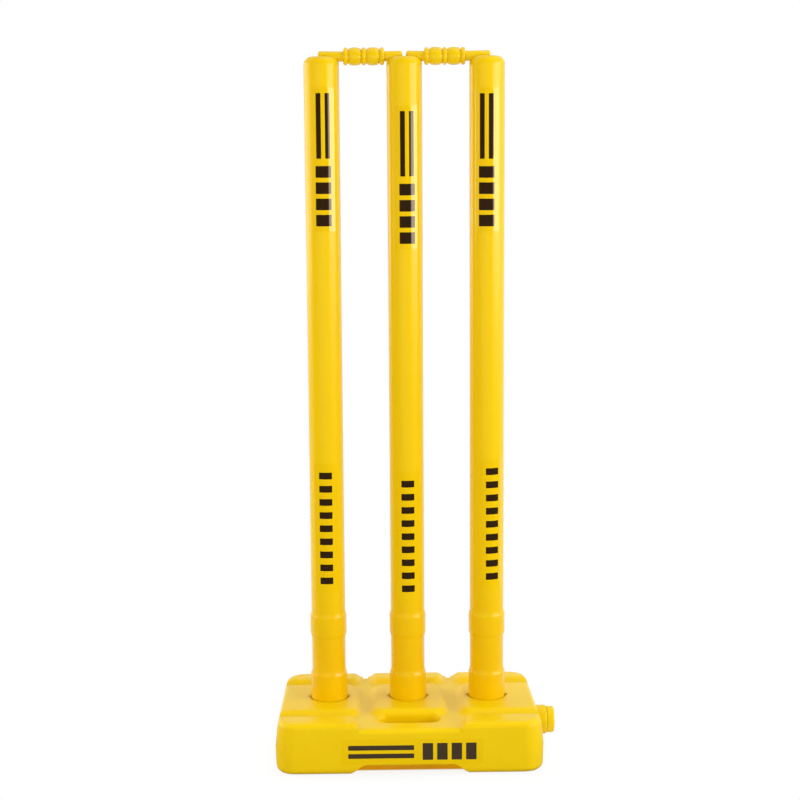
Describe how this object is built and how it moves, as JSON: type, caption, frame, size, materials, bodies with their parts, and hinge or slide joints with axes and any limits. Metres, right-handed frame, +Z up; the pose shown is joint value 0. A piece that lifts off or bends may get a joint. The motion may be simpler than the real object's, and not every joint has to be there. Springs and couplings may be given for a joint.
{
  "type": "cricket stumps",
  "caption": "Free-standing wicket: hollow stumps plugged into a fillable moulded base with a carrying slot, bails lying across the stump tops, and a screw cap with its seal on the base's end.",
  "frame": {"origin": "on the ground under the middle stump's axis", "axes": "+X along the wicket to the filler cap, -Y to the side with the carrying slot, +Z up along the stumps"},
  "size_m": [0.2884, 0.1725, 0.7191],
  "materials": {
    "tank_plastic": "semi-gloss blow-moulded yellow polyethylene with fine mould texture",
    "stump_plastic": "semi-gloss yellow polyethylene tube with clear glossy labels",
    "bail_plastic": "semi-gloss moulded yellow plastic",
    "cap_plastic": "semi-gloss moulded yellow plastic, a shade paler than the base",
    "seal_rubber": "matt black rubber washer"
  },
  "bodies": {
    "base": {"base_tank": "tank_plastic"},
    "middle stump": {"stump_middle": "stump_plastic"},
    "left stump": {"stump_left": "stump_plastic"},
    "right stump": {"stump_right": "stump_plastic"},
    "left bail": {"bail_left": "bail_plastic"},
    "right bail": {"bail_right": "bail_plastic"},
    "seal": {"filler_seal": "seal_rubber"},
    "cap": {"filler_cap": "cap_plastic"}
  },
  "joints": [
    {"name": "middle stump lift", "type": "slide", "parent": "base", "child": "middle stump", "axis": [0, 0, 1], "range_m": [0, 0.06]},
    {"name": "left stump lift", "type": "slide", "parent": "middle stump", "child": "left stump", "axis": [0, 0, 1], "range_m": [0, 0.06]},
    {"name": "right stump lift", "type": "slide", "parent": "middle stump", "child": "right stump", "axis": [0, 0, 1], "range_m": [0, 0.06]},
    {"name": "left bail lift", "type": "slide", "parent": "left stump", "child": "left bail", "axis": [0, 0, 1], "range_m": [0, 0.03]},
    {"name": "right bail lift", "type": "slide", "parent": "right stump", "child": "right bail", "axis": [0, 0, 1], "range_m": [0, 0.03]},
    {"name": "cap travel", "type": "slide", "parent": "base", "child": "seal", "axis": [1, 0, 0], "range_m": [0, 0.009]},
    {"name": "cap turn", "type": "hinge", "parent": "seal", "child": "cap", "pos_m": [0.145, 0, 0.0255], "axis": [1, 0, 0], "range_deg": [0, 1080]}
  ],
  "couplings": [
    {"joint": "cap travel", "follows": "cap turn", "m_per_rad": 0.00047746}
  ]
}
